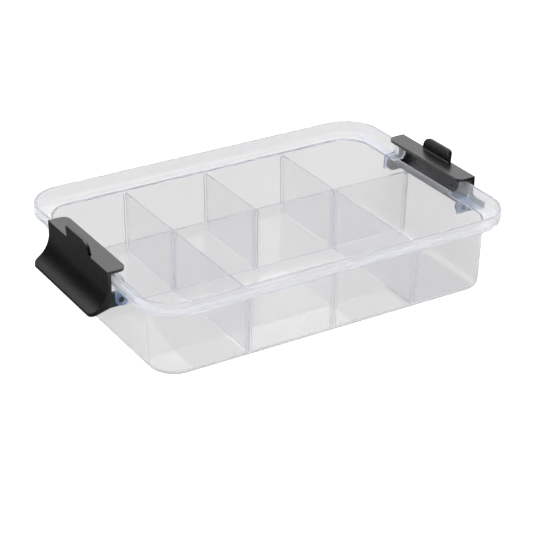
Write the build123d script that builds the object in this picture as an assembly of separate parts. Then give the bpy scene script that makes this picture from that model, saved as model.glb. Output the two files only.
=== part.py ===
from build123d import *
import math
import os

# Divided tackle box: an open tray with a stepped rim, lift-out partitions in guide ribs,
# and a hinged clip handle on each end.
# Frame: X along the length, Y from front to rear, +Z up, origin at the centre of the base.
# All sizes are in millimetres.

# ---- tray ----
rim_length = 300.0
rim_width = 210.0
rim_corner = 28.8
rim_top = 63.8
ledge_top = 53.5            # flat ledge inside the rim, where a lid would sit
wall = 1.8
floor = 1.8
end_reach = 10.2            # how far the rim stands out past the tub's end walls
side_reach = 11.3           # and past its front and rear walls
tub_corner = 20.5           # upright corner radius of the tub at its base
draft_angle = 1.7           # lean of the tub walls, in degrees
base_edge = 4.0             # outer rounding between wall and base
mouth_edge = 1.2            # rounding where the tub opens into the ledge
rim_foot = 4.5              # outer rounding under the rim
ledge_cove = 4.0            # inner rounding between ledge and rim wall
rim_lip = 0.6               # rounding of the rim's top edge

# ---- notch in the rim behind each latch ----
notch_half = 36.3
notch_sill = 55.0           # top of the wall where the rim is cut away
sill_depth = 2.6
sill_stand = 0.8            # how far the sill stands out past the tub wall

# ---- partitions ----
row_split = 16.7            # the long partition stands nearer to the rear wall
bay = 70.0                  # spacing of the cross partitions
divider_top = 51.3
divider_thick = 1.4
long_thick = 1.6
rib_thick = 1.2
rib_depth = 2.0
rib_top = 50.2
rib_shoulder = 1.0          # slope at the top of a wall rib
long_rib_depth = 1.8        # the ribs on the long partition, and how far
long_rib_root = 0.4         # they are sunk into it
slide_gap = 0.3             # clearance at the ends of a partition
slot_play = 0.2             # clearance on each face of a partition
floor_gap = 0.2
divider_corner = 4.0

# ---- latch hinge ----
pivot_x = 145.8
pivot_z = 45.2
pin_radius = 2.0
pin_play = 0.05
pin_short = 0.2             # how far the pin's end stays inside the ear
ear_radius = 4.2
ear_inner = 47.3            # distance of the ear's inner face from the middle of the latch
ear_thick = 1.8
ear_bottom = 41.0
ear_root = 1.2              # how far an ear runs up into the ledge
ear_flare = 0.8             # bevel around the outer mouth of the pin hole

# ---- latch ----
latch_half = 46.9
latch_outer = 155.0
latch_inner = 152.2
lip_tip = 140.0
lip_top = 67.8
lip_thick = 2.2
lip_corner = 6.0
grip_start = 57.6           # height where the grip begins to sweep outwards
grip_sweep = 20.0           # radius of that sweep
grip_angle = 62.0           # how far it turns, in degrees
grip_run = 3.6              # straight stretch below the sweep
grip_thick = 2.4
grip_edge = 2.5             # height of the upright edge at the tip of the grip
grip_corner = 5.0
heel_z = 40.4               # lower end of the upright wall
pocket_exit = 8.0           # how far the pocket's cutter runs past the tip
cheek_thick = 3.0
cheek_radius = 5.2
web_thick = 1.6
web_places = (-22.0, 0.0, 22.0)
tab_low = -16.4
tab_high = 17.5
tab_top = 77.3
tab_lean = 5.0
tab_thick = 2.3
tab_small = 3.0
tab_large = 8.0
tab_root = 1.2              # rounding between the tab and the lip

# ---- worked out from the above ----
draft = math.tan(math.radians(draft_angle))
ledge_under = ledge_top - wall
base_length = rim_length - 2 * end_reach - 2 * draft * ledge_under
base_width = rim_width - 2 * side_reach - 2 * draft * ledge_under
sill_outer = rim_length / 2 - end_reach + sill_stand
slot_half = divider_thick / 2 + slot_play
long_slot_half = long_thick / 2 + slot_play
tiny = 1.0                  # how far a cutter or a root runs past a face
tuck = 0.2                  # how far a small filler runs into its neighbour
touch = 0.01                # slack when an edge is picked by its place


def inner_half(base_size, height):
    """Distance from the middle plane to the inside of a tub wall at a height."""
    return base_size / 2 - wall + draft * height


def block(low, high):
    """Box between two opposite corners."""
    size = [b - a for a, b in zip(low, high)]
    middle = [(a + b) / 2 for a, b in zip(low, high)]
    return Pos(*middle) * Box(*size)


def rounded_slab(length, width, corner, low, high):
    """Upright slab with rounded plan corners."""
    outline = Plane.XY.offset(low) * RectangleRounded(length, width, corner)
    return extrude(outline, amount=high - low)


def leaning_tub(inset, low, high):
    """Solid with the tub's leaning sides, moved in from the outer wall by inset."""
    outlines = []
    for height in (low, high):
        grow = 2 * (draft * height - inset)
        corner = tub_corner + grow / 2
        outlines.append(
            Plane.XY.offset(height)
            * RectangleRounded(base_length + grow, base_width + grow, corner)
        )
    return loft(outlines, ruled=True)


def edges_at(solid, height):
    """Edges that lie flat at a height."""
    return solid.edges().filter_by_position(Axis.Z, height - touch, height + touch)


def on_tub_mouth(edge):
    """True for an edge at ledge height that keeps within the tub's inner walls."""
    box = edge.bounding_box()
    reach_x = max(abs(box.min.X), abs(box.max.X))
    reach_y = max(abs(box.min.Y), abs(box.max.Y))
    slack = wall / 4
    return (reach_x < inner_half(base_length, ledge_top) + slack
            and reach_y < inner_half(base_width, ledge_top) + slack)


def profile_plate(points, centre, thick, side):
    """Upright plate from an outline. side "x" runs along X at y = centre, "y" along Y."""
    outline = make_face(Polyline(*points, close=True))
    if side == "x":
        plate = extrude(Plane.XZ * outline, amount=thick / 2, both=True)
        return Pos(0, centre, 0) * plate
    plate = extrude(Plane.YZ * outline, amount=thick / 2, both=True)
    return Pos(centre, 0, 0) * plate


def wall_rib(base_size, sense, offset, side):
    """One guide rib on a tub wall. It follows the lean of the wall and its root is in the wall."""
    root = -wall / 2
    outline = (
        (root, base_edge),
        (root, rib_top + rib_shoulder),
        (rib_depth / 3, rib_top),
        (rib_depth, rib_top - rib_shoulder),
        (rib_depth, 0.7 * floor),
        (0.2 * rib_depth, 1.3 * floor),
    )
    points = []
    for depth, height in outline:
        points.append((sense * (inner_half(base_size, height) - depth), height))
    return profile_plate(points, offset, rib_thick, side)


def hinge_ears():
    """Four ears under the rim that carry the latch pins."""
    wall_side = inner_half(base_length, pivot_z) + wall / 2
    rim_side = rim_length / 2
    under = Rectangle(rim_side - wall_side, ledge_under + ear_root - pivot_z, align=Align.MIN)
    shape = Pos(wall_side, pivot_z) * under
    foot = Rectangle(wall - tuck, rim_foot + tuck, align=Align.MIN)
    shape += Pos(rim_side - wall + tuck, ledge_under) * foot
    shape += Pos(pivot_x, pivot_z) * Circle(ear_radius)
    heel = Rectangle(pivot_x - wall_side, pivot_z - ear_bottom, align=Align.MIN)
    shape += Pos(wall_side, ear_bottom) * heel
    ear = extrude(Plane.XZ * shape, amount=-ear_thick)
    ear = Pos(0, ear_inner, 0) * ear
    mouth = Cone(pin_radius + pin_play, pin_radius + pin_play + ear_flare, ear_flare)
    bore = Cylinder(pin_radius + pin_play, 4 * ear_thick)
    hole_middle = Pos(pivot_x, ear_inner + ear_thick / 2, pivot_z) * Rot(-90, 0, 0)
    ear -= hole_middle * bore
    ear -= Pos(0, ear_thick / 2 - ear_flare / 2, 0) * hole_middle * mouth
    pair = [ear, mirror(ear, about=Plane.XZ)]
    return pair + [mirror(one, about=Plane.YZ) for one in pair]


def make_tray():
    tub = leaning_tub(0, 0, ledge_top)
    tub = fillet(edges_at(tub, 0), base_edge)
    cavity = leaning_tub(wall, floor, ledge_top + tiny)
    cavity = fillet(edges_at(cavity, floor), base_edge - wall)

    rim = rounded_slab(rim_length, rim_width, rim_corner, ledge_under, rim_top)
    rim = fillet(edges_at(rim, ledge_under), rim_foot)
    inside = rounded_slab(rim_length - 2 * wall, rim_width - 2 * wall, rim_corner - wall,
                          ledge_top, rim_top + tiny)
    inside = fillet(edges_at(inside, ledge_top), ledge_cove)

    tray = tub + rim - cavity - inside
    tray = fillet(edges_at(tray, rim_top), rim_lip)
    mouth = [edge for edge in edges_at(tray, ledge_top) if on_tub_mouth(edge)]
    tray = fillet(mouth, mouth_edge)

    for end in (-1, 1):
        cut = block((sill_outer, -notch_half, ledge_under - tiny),
                    (rim_length / 2 + tiny, notch_half, rim_top + tiny))
        sill = block((sill_outer - sill_depth, -notch_half - wall, ledge_under),
                     (sill_outer, notch_half + wall, notch_sill))
        if end < 0:
            cut = mirror(cut, about=Plane.YZ)
            sill = mirror(sill, about=Plane.YZ)
        tray = tray - cut + sill

    for ear in hinge_ears():
        tray += ear

    for place in (-bay, 0.0, bay):
        for sense in (-1, 1):
            for side in (-1, 1):
                offset = place + side * (slot_half + rib_thick / 2)
                tray += wall_rib(base_width, sense, offset, "y")
    for sense in (-1, 1):
        for side in (-1, 1):
            offset = row_split + side * (long_slot_half + rib_thick / 2)
            tray += wall_rib(base_length, sense, offset, "x")
    return tray


def rounded_lower_corners(plate, axis, ends):
    """Round the lower corners of a partition at the given ends."""
    corners = []
    for edge in plate.edges():
        middle = edge.center()
        along = middle.X if axis == "x" else middle.Y
        low = middle.Z < floor + floor_gap + touch
        if low and any(abs(along - end) < 10 * touch for end in ends):
            corners.append(edge)
    return fillet(corners, divider_corner)


def make_long_divider():
    low = floor + floor_gap
    half_low = inner_half(base_length, low) - slide_gap
    half_top = inner_half(base_length, divider_top) - slide_gap
    points = [(-half_low, low), (half_low, low), (half_top, divider_top), (-half_top, divider_top)]
    plate = profile_plate(points, row_split, long_thick, "x")
    plate = rounded_lower_corners(plate, "x", (-half_low, half_low))
    for place in (-bay, 0.0, bay):
        for side in (-1, 1):
            for face in (-1, 1):
                middle = place + side * (slot_half + rib_thick / 2)
                near = row_split + face * (long_thick / 2 - long_rib_root)
                far = row_split + face * (long_thick / 2 + long_rib_depth)
                plate += block((middle - rib_thick / 2, min(near, far), low),
                               (middle + rib_thick / 2, max(near, far), rib_top))
    return plate


def make_cross_divider(place, row):
    """Short partition at x = place. row is 1 for the rear row and -1 for the front row."""
    low = floor + floor_gap
    near = row_split + row * (long_thick / 2 + slide_gap)
    far_low = row * (inner_half(base_width, low) - slide_gap)
    far_top = row * (inner_half(base_width, divider_top) - slide_gap)
    points = [(near, low), (far_low, low), (far_top, divider_top), (near, divider_top)]
    plate = profile_plate(points, place, divider_thick, "y")
    return rounded_lower_corners(plate, "y", (far_low,))


def latch_section():
    """Section of the latch across its length: lip, upright wall and flared grip."""
    turn = math.radians(grip_angle)
    sweep_end = (latch_outer + grip_sweep * (1 - math.cos(turn)),
                 grip_start - grip_sweep * math.sin(turn))
    tip = (sweep_end[0] + grip_run * math.sin(turn), sweep_end[1] - grip_run * math.cos(turn))
    under_tip = (tip[0], tip[1] - grip_edge)
    upper = Polyline((latch_inner, heel_z), (latch_inner, lip_top - lip_thick),
                     (lip_tip, lip_top - lip_thick), (lip_tip, lip_top),
                     (latch_outer, lip_top), (latch_outer, grip_start))
    sweep = TangentArc((latch_outer, grip_start), sweep_end, tangent=(0, -1))
    lower = Polyline(sweep_end, tip, under_tip, (latch_inner, heel_z))
    return make_face(upper + sweep + lower), tip


def grip_pocket():
    """Hollow inside the grip, open below, between the upright wall and the flared skin."""
    turn = math.radians(grip_angle)
    centre = (latch_outer + grip_sweep, grip_start)
    radius = grip_sweep + grip_thick
    wall_face = latch_inner + grip_thick
    rise = math.sqrt(radius ** 2 - (centre[0] - wall_face) ** 2)
    apex = (wall_face, centre[1] - rise)
    sweep_end = (centre[0] - radius * math.cos(turn), centre[1] - radius * math.sin(turn))
    exit_run = grip_run + pocket_exit
    mouth = (sweep_end[0] + exit_run * math.sin(turn), sweep_end[1] - exit_run * math.cos(turn))
    skin = RadiusArc(apex, sweep_end, -radius)
    rest = Polyline(sweep_end, mouth, (wall_face, mouth[1]), apex)
    return make_face(skin + rest)


def make_tab():
    """Thumb tab on the outer edge of the lip. It leans outwards."""
    lean = math.radians(tab_lean)
    length = tab_high - tab_low
    sunk = 2.0
    height = (tab_top - lip_top) / math.cos(lean) + sunk
    outline = Pos((tab_low + tab_high) / 2, height / 2 - sunk) * Rectangle(length, height)
    for end, radius in ((tab_low, tab_small), (tab_high, tab_large)):
        corner = [v for v in outline.vertices() if abs(v.X - end) < touch and v.Y > 0]
        outline = fillet(corner, radius)
    leaning = Plane(origin=(latch_outer, 0, lip_top), x_dir=(0, 1, 0),
                    z_dir=(math.cos(lean), 0, -math.sin(lean)))
    tab = extrude(leaning * outline, amount=-tab_thick)

    face = latch_outer - tab_thick / math.cos(lean)
    foot = (face - tab_root, lip_top)
    head = (face + tab_root * math.tan(lean), lip_top + tab_root)
    inside = (face + tab_thick / 2, lip_top - lip_thick / 2)
    hollow = RadiusArc(foot, head, -tab_root)
    solid = Polyline(head, (inside[0], head[1]), inside, (foot[0], inside[1]), foot)
    web = extrude(Plane.XZ * make_face(hollow + solid), amount=-length)
    return tab + Pos(0, tab_low, 0) * web


def make_right_latch():
    section, tip = latch_section()
    latch = extrude(Plane.XZ * section, amount=latch_half, both=True)

    pocket = extrude(Plane.XZ * grip_pocket(), amount=latch_half - cheek_thick, both=True)
    for place in web_places:
        web = block((latch_inner, place - web_thick / 2, 0),
                    (tip[0] + tiny, place + web_thick / 2, rim_top))
        pocket -= web
    latch -= pocket

    upright = latch.edges().filter_by(Axis.Z)
    lip_edges = upright.filter_by_position(Axis.X, lip_tip - touch, lip_tip + touch)
    latch = fillet(lip_edges, lip_corner)
    upright = latch.edges().filter_by(Axis.Z)
    tip_edges = upright.filter_by_position(Axis.X, tip[0] - touch, tip[0] + touch)
    tip_edges = [edge for edge in tip_edges if abs(edge.center().Y) > latch_half - touch]
    latch = fillet(tip_edges, grip_corner)

    latch += make_tab()
    for side in (-1, 1):
        round_end = Pos(pivot_x, pivot_z) * Circle(cheek_radius)
        bridge = Rectangle(latch_inner + tiny - pivot_x, 2 * cheek_radius,
                           align=(Align.MIN, Align.CENTER))
        outline = round_end + Pos(pivot_x, pivot_z) * bridge
        cheek = extrude(Plane.XZ * outline, amount=-cheek_thick)
        cheek = Pos(0, latch_half - cheek_thick, 0) * cheek
        pin_length = ear_inner + ear_thick - latch_half - pin_short + tiny
        pin = Cylinder(pin_radius, pin_length, align=(Align.CENTER, Align.CENTER, Align.MIN))
        cheek += Pos(pivot_x, latch_half - tiny, pivot_z) * Rot(-90, 0, 0) * pin
        latch += cheek if side > 0 else mirror(cheek, about=Plane.XZ)
    return latch


right_latch = make_right_latch()
parts = {
    "tray": make_tray(),
    "long_divider": make_long_divider(),
    "rear_left_divider": make_cross_divider(-bay, 1),
    "rear_middle_divider": make_cross_divider(0.0, 1),
    "rear_right_divider": make_cross_divider(bay, 1),
    "front_left_divider": make_cross_divider(-bay, -1),
    "front_right_divider": make_cross_divider(bay, -1),
    "right_latch": right_latch,
    "left_latch": Rot(0, 0, 180) * right_latch,
}

os.makedirs("parts", exist_ok=True)
for name, shape in parts.items():
    export_step(shape, f"parts/{name}.step")
    print(name, len(shape.solids()), "solid(s)", round(shape.volume), "mm3")
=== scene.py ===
import math

import bpy
from mathutils import Matrix, Vector

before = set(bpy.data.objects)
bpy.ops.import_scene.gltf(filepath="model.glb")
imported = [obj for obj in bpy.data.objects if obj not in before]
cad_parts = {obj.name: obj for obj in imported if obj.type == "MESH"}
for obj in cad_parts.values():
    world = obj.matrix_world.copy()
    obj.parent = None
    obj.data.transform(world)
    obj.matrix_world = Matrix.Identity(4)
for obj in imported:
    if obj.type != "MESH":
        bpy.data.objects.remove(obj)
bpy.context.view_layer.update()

# ---- clear plastic ----
REFRACTION = 1.49
MILK_TINT = (0.56, 0.60, 0.67)
TRAY_MILK = 0.16                      # share of the light that one face scatters
TRAY_PASS = (0.995, 0.967, 0.937)     # colour of the light that goes through
PARTITION_MILK = 0.13
PARTITION_PASS = (0.995, 0.973, 0.949)
FLOW_LEAST, FLOW_SWING = 0.85, 0.3    # flow marks vary the milk from 0.85 to 1.15 of its share
FLOW_SCALE = 14.0
WAVE_SCALE = 60.0                     # faint waves in the surface
WAVE_STRENGTH = 0.02
RIM_FROM, RIM_FULL = 0.0505, 0.0545   # heights between which the rim's milkier plastic sets in
RIM_MILK = 0.1
RIM_TINT = (0.80, 0.83, 0.89)
EAR_FROM = 0.1407                     # below the rim, what lies further out than this is a hinge ear
EAR_MILK = 0.2
EAR_TINT = (0.42, 0.60, 0.90)
LAMPS_PASS = (0.98, 0.98, 0.98)       # what one face lets through from the lamps
PAINTED_GLOW_FROM, PAINTED_GLOW_FULL = 4.0, 9.0       # bounces over which a painted glow, an emission, replaces the light of rays trapped in the plastic
# painted light: colour of the emitted glow that stands in for light trapped in the plastic
PAINTED_DEEP_GLOW = (0.665, 0.70, 0.76)

# ---- black plastic ----
BLACK_DEEP = (0.004, 0.004, 0.0043)
BLACK_PALE = (0.008, 0.008, 0.0085)
BLACK_ROUGH, BLACK_ROUGH_SWING = 0.22, 0.1
BLACK_SPECULAR = 0.8
GRAIN_SCALE = 1400.0
GRAIN_STRENGTH = 0.3
CLOUD_SCALE = 45.0
BUMP_DEPTH = 0.0002                   # for the grain here and the waves in the clear plastic
LATCH_EDGE = 0.0004                   # rounding of the latches' edges

# ---- floor ----
FLOOR_REACH = 3.0
FLOOR_DROP = 0.0005                   # gap under the tray
PAPER_COLOUR = (0.95, 0.95, 0.95)
PAPER_GLOW = 0.6
FIBRE_SCALE = 300.0
FIBRE_STRENGTH = 0.02
FIBRE_DEPTH = 0.0005
THROUGH_COLOUR = (0.16, 0.16, 0.16)   # the floor as the clear plastic shows it
THROUGH_GLOW = 0.71
NEAR_REACH, FAR_REACH = 0.25, 0.7     # distances from the middle between which it darkens
MIRRORED_NEAR, MIRRORED_FAR = 0.12, 0.05   # grey of the floor in the latches' blurred reflections

# ---- studio light ----
TENT_RISE = (0.42, 0.85)              # upward part of a direction, over which the tent brightens
HORIZON_LIGHT, TENT_LIGHT = 0.02, 1.6   # the tent in blurred reflections, low down and overhead
FRONT_SPAN = (-0.7, 0.3)              # rearward part of a direction, over which the tent brightens
FRONT_SHARE = 0.4                     # brightness of its front side, as a share of its rear's
TENT_THROUGH = 0.79                   # the tent as the clear plastic shows it
BACKDROP = 1.0                        # the tent seen straight
OVERHEAD = {"place": (0.0, 0.1, 1.4), "size": (1.6, 1.6), "power": 8.0}
BEHIND = {"place": (0.72, 1.2, 0.75), "size": (1.3, 0.6), "power": 3.7, "gloss_only": True}
LAMP_TARGET = (0, 0, 0)

# ---- camera ----
CAMERA_PLACE = (-0.62608, -1.01918, 0.62966)
CAMERA_ANGLES = (-31.553, 27.356, 0.537)   # azimuth, elevation and roll in degrees
CAMERA_LENS = 121.41
SENSOR_WIDTH = 36.0
CAMERA_REACH = 20.0

BOUNCES = 32
COLOUR_A, COLOUR_B, COLOUR_RESULT = 6, 7, 2   # sockets of a Mix node that is set to colour


# ---- small helpers ----

def opaque(colour):
    return (*colour, 1.0)


class Tree:
    """The node tree of a material or a world, with short calls to add and join nodes."""

    def __init__(self, owner):
        self.owner = owner
        owner.use_nodes = True
        self.nodes = owner.node_tree.nodes
        self.links = owner.node_tree.links
        self.nodes.clear()

    def feed(self, socket, value):
        """Join an input to another node's output, or set it to a plain value."""
        if isinstance(value, bpy.types.NodeSocket):
            self.links.new(value, socket)
        else:
            socket.default_value = value

    def add(self, kind, settings=None, **inputs):
        """A node with some of its properties and inputs set. An input may be a value or a socket."""
        made = self.nodes.new(kind)
        for key, value in (settings or {}).items():
            setattr(made, key, value)
        for key, value in inputs.items():
            self.feed(made.inputs[key.replace("_", " ")], value)
        return made

    def math(self, operation, *values, clamp=False):
        made = self.add("ShaderNodeMath", {"operation": operation, "use_clamp": clamp})
        for socket, value in zip(made.inputs, values):
            self.feed(socket, value)
        return made.outputs[0]

    def noise(self, place, scale, **inputs):
        return self.add("ShaderNodeTexNoise", Vector=place, Scale=scale, **inputs).outputs["Fac"]

    def bump(self, height, strength, depth):
        made = self.add("ShaderNodeBump", Height=height, Strength=strength, Distance=depth)
        return made.outputs["Normal"]

    def ramp(self, value, start, end, low=0.0, high=1.0, kind="LINEAR"):
        """The value brought from start..end to low..high."""
        made = self.add("ShaderNodeMapRange", {"interpolation_type": kind}, Value=value,
                        From_Min=start, From_Max=end, To_Min=low, To_Max=high)
        return made.outputs["Result"]

    def mix_values(self, factor, a, b):
        return self.add("ShaderNodeMix", Factor=factor, A=a, B=b).outputs["Result"]

    def mix_colours(self, factor, a, b):
        made = self.add("ShaderNodeMix", {"data_type": "RGBA"}, Factor=factor)
        self.feed(made.inputs[COLOUR_A], a)
        self.feed(made.inputs[COLOUR_B], b)
        return made.outputs[COLOUR_RESULT]

    def mix_shaders(self, factor, a, b):
        made = self.add("ShaderNodeMixShader")
        for socket, value in zip(made.inputs, (factor, a, b)):
            self.feed(socket, value)
        return made.outputs[0]

    def finish(self, surface, output="ShaderNodeOutputMaterial"):
        self.add(output, Surface=surface)
        return self.owner


# ---- materials ----

def clear_plastic(name, milk_share, rim_milk, pass_colour):
    """Clear polypropylene: it refracts, mirrors a little, and is faintly milky with flow marks.

    It is milkier from the ledge up, by rim_milk, where the moulding is thickest, and milkier and
    bluer in the hinge ears. A ray that bounces in it for long ends in a painted glow, an emission
    that stands in for the light the trapped ray would carry, and sets in with the number of
    bounces. The lamps shine through it.
    """
    tree = Tree(bpy.data.materials.new(name))
    place = tree.add("ShaderNodeTexCoord").outputs["Object"]
    flow = tree.noise(place, FLOW_SCALE, Detail=3.0, Roughness=0.55)
    normal = tree.bump(tree.noise(place, WAVE_SCALE, Detail=2.0), WAVE_STRENGTH, BUMP_DEPTH)

    split = tree.add("ShaderNodeSeparateXYZ", Vector=place).outputs
    in_rim = tree.ramp(split["Z"], RIM_FROM, RIM_FULL, kind="SMOOTHSTEP")
    past_wall = tree.math("GREATER_THAN", tree.math("ABSOLUTE", split["X"]), EAR_FROM)
    in_ear = tree.math("SUBTRACT", past_wall, in_rim, clamp=True)

    tint = tree.mix_colours(in_ear, opaque(MILK_TINT), opaque(EAR_TINT))
    tint = tree.mix_colours(in_rim, tint, opaque(RIM_TINT))
    scatter = tree.add("ShaderNodeBsdfDiffuse", Color=tint, Roughness=0.3, Normal=normal)
    lit_from_behind = tree.add("ShaderNodeBsdfTranslucent", Color=tint)
    milk = tree.mix_shaders(0.5, scatter.outputs[0], lit_from_behind.outputs[0])

    glass = tree.add("ShaderNodeBsdfPrincipled", Base_Color=opaque(pass_colour), Roughness=0.0,
                     IOR=REFRACTION, Transmission_Weight=1.0, Normal=normal)
    share = tree.math("MULTIPLY_ADD", flow, FLOW_SWING * milk_share, FLOW_LEAST * milk_share)
    share = tree.math("ADD", share, tree.math("MULTIPLY", in_rim, rim_milk))
    share = tree.math("ADD", share, tree.math("MULTIPLY", in_ear, EAR_MILK))
    body = tree.mix_shaders(share, glass.outputs[0], milk)

    path = tree.add("ShaderNodeLightPath").outputs
    # painted light: past a few bounces the plastic emits an even glow in place of the trapped light
    painted_glow_share = tree.ramp(path["Ray Depth"], PAINTED_GLOW_FROM, PAINTED_GLOW_FULL, kind="SMOOTHSTEP")
    glow = tree.add("ShaderNodeEmission", Color=opaque(PAINTED_DEEP_GLOW), Strength=1.0)
    body = tree.mix_shaders(painted_glow_share, body, glow.outputs[0])
    lamps_pass = tree.add("ShaderNodeBsdfTransparent", Color=opaque(LAMPS_PASS))
    return tree.finish(tree.mix_shaders(path["Is Shadow Ray"], body, lamps_pass.outputs[0]))


def black_plastic(name):
    """Black polypropylene with a fine eroded texture. Its colour and its gloss are slightly cloudy."""
    tree = Tree(bpy.data.materials.new(name))
    place = tree.add("ShaderNodeTexCoord").outputs["Object"]
    grain = tree.noise(place, GRAIN_SCALE, Detail=3.0, Roughness=0.6)
    cloud = tree.noise(place, CLOUD_SCALE, Detail=4.0)
    shader = tree.add("ShaderNodeBsdfPrincipled",
                      Base_Color=tree.mix_colours(cloud, opaque(BLACK_DEEP), opaque(BLACK_PALE)),
                      Roughness=tree.math("MULTIPLY_ADD", cloud, BLACK_ROUGH_SWING, BLACK_ROUGH),
                      Specular_IOR_Level=BLACK_SPECULAR,
                      Normal=tree.bump(grain, GRAIN_STRENGTH, BUMP_DEPTH))
    return tree.finish(shader.outputs[0])


def floor_material():
    """White paper on a glowing table.

    Through the clear plastic it shows a glowing table, a little darker than the paper seen straight.
    In the blurred reflections of the black latches it is dark, and darker still far away.
    """
    tree = Tree(bpy.data.materials.new("floor_paper"))
    place = tree.add("ShaderNodeTexCoord").outputs["Object"]

    def glowing(colour, glow, **inputs):
        made = tree.add("ShaderNodeBsdfPrincipled", Base_Color=opaque(colour), Roughness=1.0,
                        Specular_IOR_Level=0.0, Emission_Color=(1.0, 1.0, 1.0, 1.0),
                        Emission_Strength=glow, **inputs)
        return made.outputs[0]

    fibre = tree.noise(place, FIBRE_SCALE, Detail=3.0)
    paper = glowing(PAPER_COLOUR, PAPER_GLOW, Normal=tree.bump(fibre, FIBRE_STRENGTH, FIBRE_DEPTH))
    through = glowing(THROUGH_COLOUR, THROUGH_GLOW)
    distance = tree.add("ShaderNodeVectorMath", {"operation": "LENGTH"}, Vector=place).outputs["Value"]
    grey = tree.ramp(distance, NEAR_REACH, FAR_REACH, MIRRORED_NEAR, MIRRORED_FAR)
    mirrored = tree.add("ShaderNodeBsdfDiffuse", Color=grey)

    path = tree.add("ShaderNodeLightPath").outputs
    in_gloss = tree.math("MULTIPLY", path["Is Glossy Ray"], path["Is Reflection Ray"])
    blurred = tree.math("SUBTRACT", 1.0, path["Is Singular Ray"])
    in_gloss = tree.math("MULTIPLY", in_gloss, blurred)
    indirect = tree.mix_shaders(in_gloss, through, mirrored.outputs[0])
    return tree.finish(tree.mix_shaders(path["Is Camera Ray"], indirect, paper))


def dress(node, material):
    """Give a CAD node's object one material."""
    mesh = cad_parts[node].data
    mesh.materials.clear()
    mesh.materials.append(material)


def soften_edges(node, width):
    """Round a CAD node's sharp edges a little, as a moulding's are. The bevel stays within its shape."""
    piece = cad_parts[node]
    weld = piece.modifiers.new("weld", "WELD")
    weld.merge_threshold = 1e-6
    flat = piece.modifiers.new("flat", "DECIMATE")
    flat.decimate_type = "DISSOLVE"
    flat.angle_limit = math.radians(0.5)
    bevel = piece.modifiers.new("bevel", "BEVEL")
    bevel.width = width
    bevel.segments = 3
    bevel.limit_method = "ANGLE"
    bevel.angle_limit = math.radians(30)
    bevel.harden_normals = False
    normals = piece.modifiers.new("normals", "WEIGHTED_NORMAL")
    normals.keep_sharp = False


# ---- stage ----

def make_floor():
    """A square of paper just under the tray. It belongs to the stage and not to the part."""
    far = FLOOR_REACH
    mesh = bpy.data.meshes.new("floor")
    mesh.from_pydata([(-far, -far, 0), (far, -far, 0), (far, far, 0), (-far, far, 0)],
                     [], [(0, 1, 2, 3)])
    mesh.materials.append(floor_material())
    plane = bpy.data.objects.new("floor", mesh)
    plane.location.z = -FLOOR_DROP
    bpy.context.scene.collection.objects.link(plane)


def make_tent():
    """A white tent, whose light depends on the kind of ray.

    Blurred reflections see it dark round its horizon and on its front side. Clear plastic shows it
    even, soft light comes less from its front side, and seen straight it is white.
    """
    world = bpy.data.worlds.new("studio")
    bpy.context.scene.world = world
    tree = Tree(world)
    split = tree.add("ShaderNodeSeparateXYZ",
                     Vector=tree.add("ShaderNodeTexCoord").outputs["Generated"]).outputs
    height = tree.ramp(split["Z"], *TENT_RISE, HORIZON_LIGHT, TENT_LIGHT)
    front = tree.ramp(split["Y"], *FRONT_SPAN, FRONT_SHARE)
    path = tree.add("ShaderNodeLightPath").outputs
    strength = tree.mix_values(path["Is Glossy Ray"], front, tree.math("MULTIPLY", height, front))
    strength = tree.mix_values(path["Is Transmission Ray"], strength, TENT_THROUGH)
    strength = tree.mix_values(path["Is Singular Ray"], strength, TENT_THROUGH)
    strength = tree.mix_values(path["Is Camera Ray"], strength, BACKDROP)
    background = tree.add("ShaderNodeBackground", Color=(1.0, 1.0, 1.0, 1.0), Strength=strength)
    tree.finish(background.outputs[0], "ShaderNodeOutputWorld")


def soft_box(name, place, size, power, gloss_only=False):
    """A rectangular lamp that faces the tray. With gloss_only it lights no matt surface."""
    light = bpy.data.lights.new(name, "AREA")
    light.shape = "RECTANGLE"
    light.size, light.size_y = size
    light.energy = power
    lamp = bpy.data.objects.new(name, light)
    lamp.location = place
    lamp.rotation_mode = "QUATERNION"
    lamp.rotation_quaternion = (Vector(LAMP_TARGET) - Vector(place)).to_track_quat("-Z", "Y")
    lamp.visible_diffuse = not gloss_only
    bpy.context.scene.collection.objects.link(lamp)


def make_camera():
    """The camera that was fitted to the photo's outlines."""
    azimuth, elevation, roll = map(math.radians, CAMERA_ANGLES)
    back = Vector((math.sin(azimuth) * math.cos(elevation),
                   -math.cos(azimuth) * math.cos(elevation),
                   math.sin(elevation)))
    level = Vector((math.cos(azimuth), math.sin(azimuth), 0))
    above = back.cross(level)
    right = math.cos(roll) * level + math.sin(roll) * above
    up = math.cos(roll) * above - math.sin(roll) * level
    data = bpy.data.cameras.new("camera")
    data.sensor_width = SENSOR_WIDTH
    data.lens = CAMERA_LENS
    data.clip_end = CAMERA_REACH
    camera = bpy.data.objects.new("camera", data)
    rotation = Matrix((right, up, back)).transposed().to_4x4()
    camera.matrix_world = Matrix.Translation(Vector(CAMERA_PLACE)) @ rotation
    bpy.context.scene.collection.objects.link(camera)
    bpy.context.scene.camera = camera


# ---- the whole scene ----

bpy.context.scene.view_settings.view_transform = "Standard"
bpy.context.scene.cycles.max_bounces = BOUNCES
bpy.context.scene.cycles.transmission_bounces = BOUNCES
bpy.context.scene.cycles.transparent_max_bounces = BOUNCES

tray_plastic = clear_plastic("tray_polypropylene", TRAY_MILK, RIM_MILK, TRAY_PASS)
partition_plastic = clear_plastic("partition_polypropylene", PARTITION_MILK, 0.0, PARTITION_PASS)
latch_plastic = black_plastic("latch_polypropylene")
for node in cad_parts:
    if node.endswith("latch"):
        dress(node, latch_plastic)
        soften_edges(node, LATCH_EDGE)
    elif node == "tray":
        dress(node, tray_plastic)
    else:
        dress(node, partition_plastic)

make_floor()
make_tent()
soft_box("overhead", **OVERHEAD)
soft_box("behind", **BEHIND)
make_camera()
